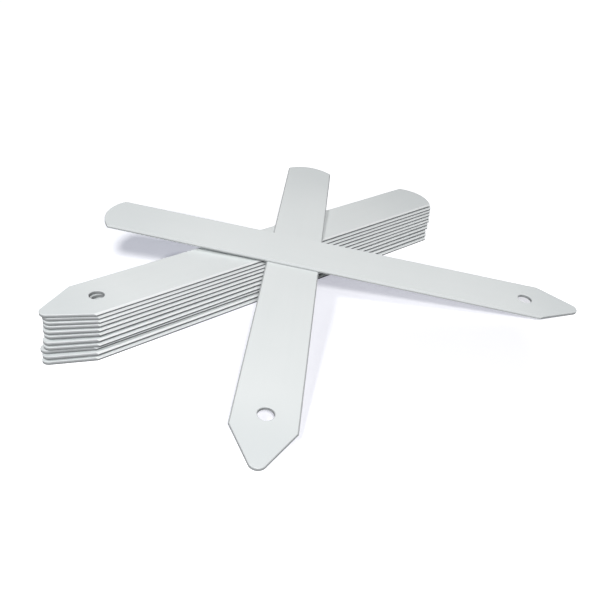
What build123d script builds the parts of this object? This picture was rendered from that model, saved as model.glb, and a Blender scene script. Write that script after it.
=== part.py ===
"""A loose set of plastic plant label stakes: a pile, a leaning stake and one laid across it.

Millimetres. +X runs along the pile from the tips to the rounded ends, -Y is the pile's near side,
+Z is up. The origin is the middle of the bottom stake's underside, on the surface it lies on.
"""
from build123d import *
from math import asin, degrees, radians, sin, sqrt, tan
import os

os.makedirs("parts", exist_ok=True)

# One stake, all moulded alike
stake_length = 202.0
stake_width = 22.0
stake_thickness = 1.4
end_radius = 16.0
tip_angle = 60.0
nose_radius = 3.0
shoulder_radius = 1.0
corner_radius = 0.5
hole_diameter = 5.6
hole_from_nose = 21.6
edge_break = 0.2
side_bevel = 0.5

# The pile: how each stake lies on the one below it, from the second stake up
stack_fan = 8.4
stack_gap = 0.335
tip_gap_shares = [1.6, 0.35, 0.5, 1.45, 1.9, 1.3, 1.15, 0.5, 0.3, 0.45]
end_gap_shares = [1.75, 0.8, 2.15, 1.1, 0.25, 0.5, 0.95, 0.55, 0.8, 1.4]
slide_shares = [0.018, 0.005, 0.045, 0.005, 0.041, -0.005, 0.018, 0.005, 0.0, -0.036]
recess_shares = [0.0, 0.045, -0.032, 0.009, 0.009, 0.007, 0.009, 0.007, 0.009, 0.009]
turn_steps = [0.05, -0.35, 0.35, 0.05, -0.1, 0.1, -0.05, 0.1, -0.1, 0.05]

# The two loose stakes: their slope, and each nose's place and heading on it
lean_angle = 12.36
seat_gap = 0.12
leaning_turn = 45.2
leaning_along_share = -0.38
cross_turn = 130.6
cross_along_share = 0.389

half_width = stake_width / 2
half_tip = radians(tip_angle / 2)
nose_cut = nose_radius / sin(half_tip) - nose_radius
shoulder_at = half_width / tan(half_tip) - nose_cut
corner_at = stake_length - end_radius + sqrt(end_radius**2 - half_width**2)


def make_stake(name, seat):
    """One stake with its underside on the seat plane, whose X runs from the nose to the rounded end."""
    with BuildPart() as stake:
        with BuildSketch(seat):
            with BuildLine():
                Polyline(
                    (corner_at, half_width),
                    (shoulder_at, half_width),
                    (-nose_cut, 0),
                    (shoulder_at, -half_width),
                    (corner_at, -half_width),
                )
                ThreePointArc((corner_at, -half_width), (stake_length, 0), (corner_at, half_width))
            make_face()
            fillet(vertices().sort_by(Axis.X)[0], nose_radius)
            fillet(vertices().sort_by(Axis.X)[2:4], shoulder_radius)
            fillet(vertices().sort_by(Axis.X)[-2:], corner_radius)
            with Locations((hole_from_nose, 0)):
                Circle(hole_diameter / 2, mode=Mode.SUBTRACT)
        extrude(amount=stake_thickness)
        broad_faces = faces().sort_by(SortBy.AREA)[-2:]
        chamfer(broad_faces.edges(), edge_break)
        with BuildSketch(Plane(origin=seat.origin, x_dir=seat.y_dir, z_dir=seat.x_dir)):
            with Locations((half_width, stake_thickness), (-half_width, stake_thickness)):
                Rectangle(side_bevel * sqrt(2), side_bevel * sqrt(2), rotation=45)
        extrude(amount=stake_length, mode=Mode.SUBTRACT)
    stake.part.label = name
    export_step(stake.part, f"parts/{name}.step")
    return stake.part


def seat_in_pile(near_edge):
    """The seat plane of a pile stake, from a plane at the middle of its near lower edge."""
    return Plane(near_edge.location * Location((-stake_length / 2, half_width, 0)))


def edge_above(near_edge, tip_gap, end_gap, slide, recess, turn):
    """The near edge of the stake on top, which opens a little further about that edge."""
    rise = stake_thickness + (tip_gap + end_gap) / 2
    pitch = degrees(asin((tip_gap - end_gap) / stake_length))
    fan_step = stack_fan / len(turn_steps)
    return Plane(near_edge.location * Location((slide, recess, rise), (fan_step, pitch, turn)))


# The pile, from the bottom stake, which lies flat
edge = Plane(origin=(0, -half_width, 0))
stakes = [make_stake("stack_stake_01", seat_in_pile(edge))]
for step, turn in enumerate(turn_steps):
    edge = edge_above(
        edge,
        tip_gap_shares[step] * stack_gap,
        end_gap_shares[step] * stack_gap,
        slide_shares[step] * stake_width,
        recess_shares[step] * stake_width,
        turn,
    )
    stakes.append(make_stake(f"stack_stake_{step + 2:02d}", seat_in_pile(edge)))

# The slope that both loose stakes follow, steeper than the top stake, over the rim of its near edge
rim = edge.location * Location((0, side_bevel, stake_thickness), (lean_angle - stack_fan, 0, 0))
slope = Plane(rim).offset(seat_gap)


def seat_on_slope(plane, along_share, turn):
    """A seat plane on the slope where the lower rim of the stake's nose just meets the surface."""
    along = along_share * stake_length
    tilt = radians(plane.z_dir.get_angle(Plane.XY.z_dir))
    nose_height = (nose_radius - edge_break) * sin(tilt)
    foot = (nose_height - plane.origin.Z - along * plane.x_dir.Z) / plane.y_dir.Z
    nose_centre = plane.location * Location((along, foot, 0), (0, 0, turn))
    return Plane(nose_centre * Location((-nose_radius, 0, 0)))


stakes.append(make_stake("leaning_stake", seat_on_slope(slope, leaning_along_share, leaning_turn)))
upper_slope = slope.offset(stake_thickness + seat_gap)
stakes.append(make_stake("cross_stake", seat_on_slope(upper_slope, cross_along_share, cross_turn)))

for stake in stakes:
    box = stake.bounding_box()
    print(f"{stake.label}: from {box.min.Z:.3f} to {box.max.Z:.2f} mm high")
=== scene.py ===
# %% [markdown]
# # A set of plastic plant label stakes
# Thirteen white stakes, all alike: eleven lie in a pile, one leans on the pile and one lies across
# that one. The packed CAD model already has every stake's real form. So this lesson loads it and
# adds what a photographer would bring, a camera, a white table and lights, and then the finish of
# the plastic, which is the part that makes flat strips look like real goods.

# %% Load the packed stakes
import math

import bpy
import numpy as np
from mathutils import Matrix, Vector

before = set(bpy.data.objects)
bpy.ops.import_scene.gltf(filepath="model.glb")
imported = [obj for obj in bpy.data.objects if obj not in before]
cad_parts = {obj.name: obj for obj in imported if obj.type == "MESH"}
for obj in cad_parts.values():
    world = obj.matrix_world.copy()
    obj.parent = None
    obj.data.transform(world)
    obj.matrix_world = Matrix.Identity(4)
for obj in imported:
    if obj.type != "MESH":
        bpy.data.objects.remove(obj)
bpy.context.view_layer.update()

MM = 0.001

stakes = dict(sorted(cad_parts.items()))
print(len(stakes), "stakes, in a box of")

# %% [markdown]
# ## The camera
# A picture of small goods on a table is taken from close by, so the near tips look larger than the
# far ends. A camera could be aimed with a constraint at an empty. Its place, the direction it looks
# in and the length of its lens are enough here, and they stay easy to read.

# %% Place the camera
CAMERA_PLACE = Vector((-0.162794, -0.217225, 0.13104))
CAMERA_FORWARD = Vector((0.574965, 0.680053, -0.454909))
LENS_MM = 40.2176
SENSOR_MM = 36

camera_data = bpy.data.cameras.new("table_camera")
camera_data.sensor_width = SENSOR_MM
camera_data.lens = LENS_MM
camera_data.clip_start = 0.01
camera_data.clip_end = 20
camera = bpy.data.objects.new("table_camera", camera_data)
camera.location = CAMERA_PLACE
camera.rotation_mode = "QUATERNION"
camera.rotation_quaternion = CAMERA_FORWARD.to_track_quat("-Z", "Y")
bpy.context.scene.collection.objects.link(camera)
bpy.context.scene.camera = camera
print("camera", round(CAMERA_PLACE.length, 3), "m from the pile's middle")

# %% [markdown]
# ## Writing shader maths as plain expressions
# A finish is a small calculation at each point of the surface. Each step of it is a node, and
# wiring dozens by hand hides the idea. This class wraps one socket, so that `1 - rim * 0.2` adds
# the Math nodes by itself. `add` makes any other node: a key such as `i0` is the number of a
# socket, and any other key is a socket's name.

# %% A socket that can be added, multiplied and compared
class Value:
    """One socket of a material, on which plain arithmetic adds Math nodes."""

    def __init__(self, tree, socket=None):
        self.tree = tree
        self.socket = socket

    def add(self, kind, settings=None, out=0, **sockets):
        """Any node: its type, its settings, then the values or links of its sockets."""
        node = self.tree.nodes.new(kind)
        for key, setting in (settings or {}).items():
            setattr(node, key, setting)
        for key, value in sockets.items():
            place = node.inputs[int(key[1:]) if key[1:].isdigit() else key.replace("_", " ")]
            if isinstance(value, Value):
                self.tree.links.new(value.socket, place)
            else:
                place.default_value = value
        return Value(self.tree, node.outputs[out] if node.outputs else None)

    def maths(self, operation, *others):
        values = {f"i{number}": other for number, other in enumerate((self, *others))}
        return self.add("ShaderNodeMath", {"operation": operation}, **values)

    def __add__(self, other):
        return self.maths("ADD", other)

    def __sub__(self, other):
        return self.maths("SUBTRACT", other)

    def __mul__(self, other):
        return self.maths("MULTIPLY", other)

    def __truediv__(self, other):
        return self.maths("DIVIDE", other)

    def __rsub__(self, other):
        return (self * -1) + other

    __radd__ = __add__
    __rmul__ = __mul__

    def absolute(self):
        return self.maths("ABSOLUTE")

    def root(self):
        return self.maths("SQRT")

    def at_most(self, other):
        return self.maths("MINIMUM", other)

    def at_least(self, other):
        return self.maths("MAXIMUM", other)

    def ramp(self, start, end):
        """0 where this is start or less, 1 where it is end or more, and smooth between them."""
        settings = {"interpolation_type": "SMOOTHSTEP"}
        return self.add("ShaderNodeMapRange", settings, i0=self, i1=start, i2=end, i3=0.0, i4=1.0)


words = [name for name in vars(Value) if not name.startswith("_")]
print("a wrapped socket knows", len(words), "plain words:", ", ".join(words))

# %% [markdown]
# ## Vectors, colours and noise
# Places and directions are vectors and have a Math node of their own. Colours are blended by a
# mask, and noise is what keeps a surface from looking drawn. A few helpers give each of them a
# plain name.

# %% Helpers for vectors, colours and noise
def empty_tree(owner):
    """The cleared node tree of a material or a world, as a start from which nodes are added."""
    owner.use_nodes = True
    owner.node_tree.nodes.clear()
    return Value(owner.node_tree)


def vector_maths(operation, first, second=(0.0, 0.0, 0.0), out=0):
    return first.add("ShaderNodeVectorMath", {"operation": operation}, out=out, i0=first, i1=second)


def vector_of(x, y, z):
    return x.add("ShaderNodeCombineXYZ", X=x, Y=y, Z=z)


def away_from(start, place):
    """The way from a fixed place to this point, in the object's own space."""
    return vector_maths("SUBTRACT", start.add("ShaderNodeTexCoord", out=3), place)


def length_of(vector):
    return vector_maths("LENGTH", vector, out=1)


def share_along(vector, direction):
    return vector_maths("DOT_PRODUCT", vector, direction, out=1)


def blend_colours(share, first, second):
    """first where share is 0, second where it is 1."""
    settings = {"data_type": "RGBA", "clamp_factor": True}
    return share.add("ShaderNodeMix", settings, out=2, i0=share, i6=first, i7=second)


def noise(place, scale, detail=2.0, roughness=0.5):
    return place.add(
        "ShaderNodeTexNoise", Vector=place, Scale=scale, Detail=detail, Roughness=roughness
    )


def seen_directly(start):
    """1 for what the camera sees, by itself or in a glossy or clear surface, and 0 for lighting."""
    camera_ray = start.add("ShaderNodeLightPath", out=0)
    glossy_ray = start.add("ShaderNodeLightPath", out=3)
    clear_ray = start.add("ShaderNodeLightPath", out=6)
    return camera_ray.at_least(glossy_ray).at_least(clear_ray)


print("helpers for vectors, colours, noise and what the camera sees")

# %% [markdown]
# ## The table
# Such goods are shown on a sheet of white board, and a large plane does, because the camera looks
# down on it. Two close lights leave it grey far away and bright nearby, while the picture wants
# pure white with two kept groups of shadows: deep ones behind the pile, and pale ones on its near
# side. So what the camera sees of the board is some paint, which takes the shadows, plus some glow,
# which washes them out, and their shares change smoothly from place to place. What the stakes get
# from it is the light of a plain white board.

# %% Name the board's whites and where they lie
BOARD_SIZE = 6.0
BOARD_DROP = 0.00002
BOARD_WHITE = (0.82, 0.82, 0.82, 1)

# Behind the pile and right beside it: much paint and little glow, so the shadows stay deep
DEEP_PAINT = (1.4, 1.4, 1.4, 1)
DEEP_GLOW = (0.05, 0.06, 0.12, 1)
DEEP_PLACE = (-0.018, 0.080, 0.0)
DEEP_REACH = (0.035, 0.075)
PILE_PLACE = (-0.010, 0.020, 0.0)
PILE_REACH = (0.018, 0.030)
PILE_SHAPE = (0.30, 1.0, 1.0)

# On the near side: half paint and half glow, so the shadows are pale
PALE_PAINT = (0.62, 0.62, 0.62, 1)
PALE_GLOW = (0.46, 0.46, 0.52, 1)
PALE_PLACE = (0.0, -0.060, 0.0)
PALE_REACH = (0.060, 0.095)

# Around both: nearly all glow, and further out nothing else
AROUND_GLOW = (0.78, 0.78, 0.80, 1)
AROUND_REACH = (0.16, 0.32)
FAR_GLOW = (1.0, 1.0, 1.0, 1)
ROUND_SHAPE = (1.0, 1.0, 1.0)
print("deep shadows within", DEEP_REACH[0], "m, pale ones within", PALE_REACH[0], "m")


# %% Lay the white board
def nearness(start, place, reach, shape=ROUND_SHAPE):
    """1 near a place on the board, 0 far from it, smooth from the first distance to the second."""
    return 1 - length_of(vector_maths("MULTIPLY", away_from(start, place), shape)).ramp(*reach)


def board_finish():
    finish = bpy.data.materials.new("white_board")
    start = empty_tree(finish)
    beside_pile = nearness(start, PILE_PLACE, PILE_REACH, PILE_SHAPE)
    deep = nearness(start, DEEP_PLACE, DEEP_REACH).at_least(beside_pile)
    pale = nearness(start, PALE_PLACE, PALE_REACH)
    around = nearness(start, PALE_PLACE, AROUND_REACH)

    paint_colour = blend_colours(deep, PALE_PAINT, DEEP_PAINT)
    glow_colour = blend_colours(around, FAR_GLOW, AROUND_GLOW)
    glow_colour = blend_colours(pale, glow_colour, PALE_GLOW)
    glow_colour = blend_colours(deep, glow_colour, DEEP_GLOW)

    paint = start.add("ShaderNodeBsdfDiffuse", Color=paint_colour)
    glow = start.add("ShaderNodeEmission", Color=glow_colour, Strength=1.0)
    seen_board = start.add("ShaderNodeAddShader", i0=paint, i1=glow)
    plain_board = start.add("ShaderNodeBsdfDiffuse", Color=BOARD_WHITE)
    shown = start.add("ShaderNodeMixShader", i0=seen_directly(start), i1=plain_board, i2=seen_board)
    start.add("ShaderNodeOutputMaterial", Surface=shown)
    return finish


half = BOARD_SIZE / 2
corners = [
    (x, y, -BOARD_DROP) for x, y in ((-half, -half), (half, -half), (half, half), (-half, half))
]
board_mesh = bpy.data.meshes.new("white_board")
board_mesh.from_pydata(corners, [], [(0, 1, 2, 3)])
board_mesh.materials.append(board_finish())
board = bpy.data.objects.new("white_board", board_mesh)
bpy.context.scene.collection.objects.link(board)
print("white board", BOARD_SIZE, "m wide")

# %% [markdown]
# ## The light
# The tops are brightest near the camera and darken towards the far right. Light does that only from
# close by, so the main light is a small soft box a metre away, above and behind the camera. It
# throws the deep shadows behind the pile. A second one stands at the left, beyond the pile's tips:
# it lights their noses and throws the pale shadows to the right. The rest of the room adds a little
# cool light from all round.

# %% Set the lights
AIM = Vector((0.0, -0.02, 0.005))
ROOM_LIGHT = (0.92, 0.96, 1.0, 1)
ROOM_STRENGTH = 0.05


def direction_of(turn, rise):
    """The way to a light, from its turn about the table and its rise above it, in degrees."""
    turn, rise = math.radians(turn), math.radians(rise)
    level = math.cos(rise)
    return Vector((level * math.cos(turn), level * math.sin(turn), math.sin(rise)))


def soft_box(name, turn, rise, distance, width, level):
    """A round light that makes pure white this bright where it faces the light at the aim point."""
    data = bpy.data.lights.new(name, "AREA")
    data.shape = "DISK"
    data.size = width
    data.energy = level * math.pi**2 * distance**2
    box = bpy.data.objects.new(name, data)
    box.location = AIM + direction_of(turn, rise) * distance
    box.rotation_mode = "QUATERNION"
    box.rotation_quaternion = (-direction_of(turn, rise)).to_track_quat("-Z", "Y")
    bpy.context.scene.collection.objects.link(box)
    print(name, "of", round(data.energy, 2), "W,", distance, "m away")


soft_box("main_light", turn=237, rise=36, distance=1.00, width=0.14, level=0.84)
soft_box("left_light", turn=186, rise=51, distance=0.80, width=0.13, level=0.36)

world = bpy.data.worlds.new("white_room")
bpy.context.scene.world = world
start = empty_tree(world)
room = start.add("ShaderNodeBackground", Color=ROOM_LIGHT, Strength=ROOM_STRENGTH)
white = start.add("ShaderNodeBackground", Color=(1, 1, 1, 1), Strength=1.0)
shown = start.add("ShaderNodeMixShader", i0=seen_directly(start), i1=room, i2=white)
start.add("ShaderNodeOutputWorld", Surface=shown)
bpy.context.scene.view_settings.view_transform = "Standard"
print("a room of strength", ROOM_STRENGTH)

# %% [markdown]
# ## Where a point is on its stake
# All stakes were made alike, so the same marks lie in the same places on each, however it lies on
# the table. A finish needs the distance along the stake, across it and up through it. These three
# directions could be handed over from CAD. They can also be read from the stake itself, which keeps
# this script in step with any new pack: the points spread most along it and least through it.

# %% Read how each stake lies
END_ZONE = 4 * MM


def lie_of(stake):
    """The nose's underside point and the three directions of a stake: along, across and up."""
    points = np.array([corner.co for corner in stake.data.vertices])
    middle = points.mean(0)
    spread = np.linalg.svd(points - middle, full_matrices=False)[2]
    along = spread[0]
    up = spread[2] * (1 if spread[2][2] > 0 else -1)

    # The nose is the narrow end, so the stake is turned round if its last points lie closer in
    reach = (points - middle) @ along
    side = np.abs((points - middle) @ np.cross(up, along))
    if side[reach > reach.max() - END_ZONE].mean() < side[reach < reach.min() + END_ZONE].mean():
        along, reach = -along, -reach

    across = np.cross(up, along)
    side = (points - middle) @ across
    height = (points - middle) @ up
    centre = (side.max() + side.min()) / 2
    nose = middle + along * reach.min() + across * centre + up * height.min()
    return Vector(nose), Vector(along), Vector(across), Vector(up)


lies = {name: lie_of(stake) for name, stake in stakes.items()}
for name, (nose, along, across, up) in lies.items():
    tilt = math.degrees(up.angle((0, 0, 1)))
    print(name, "nose at", tuple(round(x / MM, 1) for x in nose), "mm, tilt", round(tilt, 2))

# %% [markdown]
# ## The colours of the plastic
# The stakes are a cool white plastic with a satin face, a little greyer at the tip and at the
# writing end. Nothing on them is printed. The long sides are smooth, with a bevel above a dark line
# of painted shade at their foot, for the shade where the stakes meet. The tip, the round end and
# the hole are punched out, and their faces are coloured a dull grey under a paler rim.

# %% Name the colours and where they lie
PLASTIC_WHITE = (0.770, 0.795, 0.795, 1)
PLASTIC_SHADE = (0.735, 0.765, 0.765, 1)
ENDS_GREY = (0.62, 0.655, 0.665, 1)
PILE_RIM_WHITE = (0.72, 0.74, 0.745, 1)
# Painted shade: the loose stakes' rims are greyed to stand for the shade on their edges
LOOSE_RIM_PAINTED_SHADE = (0.46, 0.48, 0.485, 1)
DULL_RIM = (0.53, 0.55, 0.56, 1)
CUT_GREY = (0.30, 0.313, 0.32, 1)
# Painted shade: the dark line at the foot of each side stands for the shade in the gaps between
# stakes
SEAM_PAINTED_SHADE = (0.085, 0.090, 0.094, 1)

# Along the stake, from its nose
GREYER_TIP = (4 * MM, 34 * MM)
GREYER_END = (150 * MM, 200 * MM)
HOLE_FROM_NOSE = 21.6 * MM
HOLE_RIM = (3.1 * MM, 3.3 * MM)

# Up through the stake, from its underside
SEAM_TOP = (0.60 * MM, 0.70 * MM)
RIM_BAND_FROM = (0.60 * MM, 0.74 * MM)
CUT_TOP = (1.16 * MM, 1.26 * MM)
RAGGED = 0.16 * MM

# The way a face looks: how much of it is up, and how much of the rest is straight across
BROAD_FACE = (0.75, 0.95)
LONG_SIDE = (0.93, 0.99)

# How much of a colour covers what is under it
TONE_SHARE = 0.35
TIP_GREYNESS = 0.55
END_GREYNESS = 0.45
RIM_COVER = 0.95
CUT_RIM_COVER = 0.9
# How much of the painted shade line the loose stakes and the punched faces keep
LOOSE_SEAM_SHARE = 0.6
CUT_LESS_SEAM_SHADE = 0.35
print("the dark line ends", SEAM_TOP[0] / MM, "mm up, the punched face", CUT_TOP[0] / MM, "mm up")

# %% [markdown]
# ## Flow lines, clouds and grain
# Melted plastic runs along the mould and leaves faint lines in that direction, and it cools
# unevenly, which leaves soft clouds. Over both lies a very fine grain. Each is one noise. The flow
# lines are the same noise stretched along the stake, and a shift from stake to stake keeps any two
# from being twins.

# %% Make the three noises of one stake
FLOW_STRETCH = 0.04
FLOW_SHIFT = 3.7
FLOW_SCALE = 420.0
CLOUD_SHIFT = 1.3
CLOUD_SCALE = 45.0
GRAIN_SCALE = 5200.0
GRAIN_ROUGHNESS = 0.6


def noises_of(number, place, length_at, width_at, height_at):
    """The flow lines, the clouds and the grain of the stake with this number."""
    flow_place = vector_of(length_at * FLOW_STRETCH + number * FLOW_SHIFT, width_at, height_at)
    cloud_place = vector_of(length_at + number * CLOUD_SHIFT, width_at, height_at)
    flow = noise(flow_place, FLOW_SCALE, detail=3.0)
    clouds = noise(cloud_place, CLOUD_SCALE)
    return flow, clouds, noise(place, GRAIN_SCALE, roughness=GRAIN_ROUGHNESS)


def skin_of(length_at, flow, clouds):
    """The colour of the broad faces, a little greyer towards the two ends."""
    tone = (flow - 0.5) * 0.5 + (clouds - 0.5) + TONE_SHARE
    skin = blend_colours(tone.at_least(0.0).at_most(1.0), PLASTIC_WHITE, PLASTIC_SHADE)
    at_tip, at_end = 1 - length_at.ramp(*GREYER_TIP), length_at.ramp(*GREYER_END)
    return blend_colours(at_tip * TIP_GREYNESS + at_end * END_GREYNESS, skin, ENDS_GREY)


print("flow lines are stretched", round(1 / FLOW_STRETCH), "times along each stake")

# %% [markdown]
# ## The edges
# An edge could be a material of its own, on its own faces. But the bands on it are thinner than the
# faces are high, and a ragged line between them looks real where a straight one looks painted. So
# each band is a mask of the height in the stake, moved up and down a little by the flow lines. In
# the pile the rims stay near white. On the two loose stakes the rims are painted grey as shade, and
# the painted shade line under them is lighter.

# %% Paint the edges of one stake
SMALLEST = 0.01


def punched_share(upward, facing, across, length_at, width_at):
    """1 on the tip, the round end and the hole's wall, and 0 on the long sides."""
    level_part = (1 - upward * upward).at_least(SMALLEST).root()
    sideways = share_along(facing, across).absolute() / level_part
    from_hole = length_of(vector_of(length_at - HOLE_FROM_NOSE, width_at, 0.0))
    hole_wall = 1 - from_hole.ramp(*HOLE_RIM)
    return (1 - sideways.ramp(*LONG_SIDE)).at_least(hole_wall), hole_wall


def with_edges(skin, in_pile, edge, height_at, punched, hole_wall):
    """The skin with its rims, punched faces and line of painted shade, and the mask of the punched
    faces.
    """
    rim_band = edge * height_at.ramp(*RIM_BAND_FROM)
    cut = punched * (1 - height_at.ramp(*CUT_TOP))
    # The seam is painted shade at the foot of each side. It is weaker on punched faces and on loose
    # stakes
    seam = (1 - hole_wall) * (1 - height_at.ramp(*SEAM_TOP))
    seam_shade_share = (1 - punched * CUT_LESS_SEAM_SHADE) * (1.0 if in_pile else LOOSE_SEAM_SHARE)

    # On the loose stakes the rim colour is painted shade. In the pile it is a near-white rim
    rim = PILE_RIM_WHITE if in_pile else LOOSE_RIM_PAINTED_SHADE
    colour = blend_colours(rim_band * (1 - punched) * RIM_COVER, skin, rim)
    colour = blend_colours(rim_band * punched * CUT_RIM_COVER, colour, DULL_RIM)
    colour = blend_colours(edge * cut, colour, CUT_GREY)
    colour = blend_colours(edge * seam * seam_shade_share, colour, SEAM_PAINTED_SHADE)
    return colour, cut


# The rims of the loose stakes are painted grey as shade
print("rims are worn on", [name for name in stakes if not name.startswith("stack")])

# %% [markdown]
# ## One finish for each stake
# All thirteen share one recipe, and each gets a material of its own, because the recipe starts from
# how that stake lies. The satin face is a middling roughness, which the grain and the flow lines
# vary a little, and a punched face scatters more. The bump is a few hundredths of a millimetre:
# enough to break up a reflection, too little to see as a shape.

# %% Mix the plastic and give it to the stakes
SATIN = 0.50
CUT_ROUGHNESS = 0.25
GRAIN_ROUGHENS = 0.10
FLOW_ROUGHENS = 0.08
BUMP_DEPTH = 0.05 * MM
BUMP_STRENGTH = 0.10
PLASTIC_IOR = 1.49


def stake_plastic(name, number, lie):
    nose, along, across, up = lie
    finish = bpy.data.materials.new(f"stake_plastic_{name}")
    start = empty_tree(finish)
    place = away_from(start, nose)
    facing = start.add("ShaderNodeTexCoord", out=1)
    length_at, width_at, height_at = (share_along(place, way) for way in (along, across, up))
    upward = share_along(facing, up).absolute()

    flow, clouds, grain = noises_of(number, place, length_at, width_at, height_at)
    skin = skin_of(length_at, flow, clouds)
    edge = 1 - upward.ramp(*BROAD_FACE)
    punched, hole_wall = punched_share(upward, facing, across, length_at, width_at)
    ragged_height = height_at + (flow - 0.5) * RAGGED
    in_pile = name.startswith("stack")
    colour, cut = with_edges(skin, in_pile, edge, ragged_height, punched, hole_wall)

    rough = SATIN + (grain - 0.5) * GRAIN_ROUGHENS + (flow - 0.5) * FLOW_ROUGHENS
    rough = rough + cut * CUT_ROUGHNESS
    relief = grain * 0.6 + flow * 0.4
    bump = start.add("ShaderNodeBump", Strength=BUMP_STRENGTH, Distance=BUMP_DEPTH, Height=relief)
    plastic = start.add(
        "ShaderNodeBsdfPrincipled", Base_Color=colour, Roughness=rough, Normal=bump, IOR=PLASTIC_IOR
    )
    start.add("ShaderNodeOutputMaterial", Surface=plastic)
    return finish


for number, (name, stake) in enumerate(stakes.items()):
    finish = stake_plastic(name, number, lies[name])
    if not stake.data.materials:
        stake.data.materials.append(finish)
    for slot in stake.material_slots:
        slot.material = finish
    print(name, "is finished with", len(finish.node_tree.nodes), "nodes")

# %% [markdown]
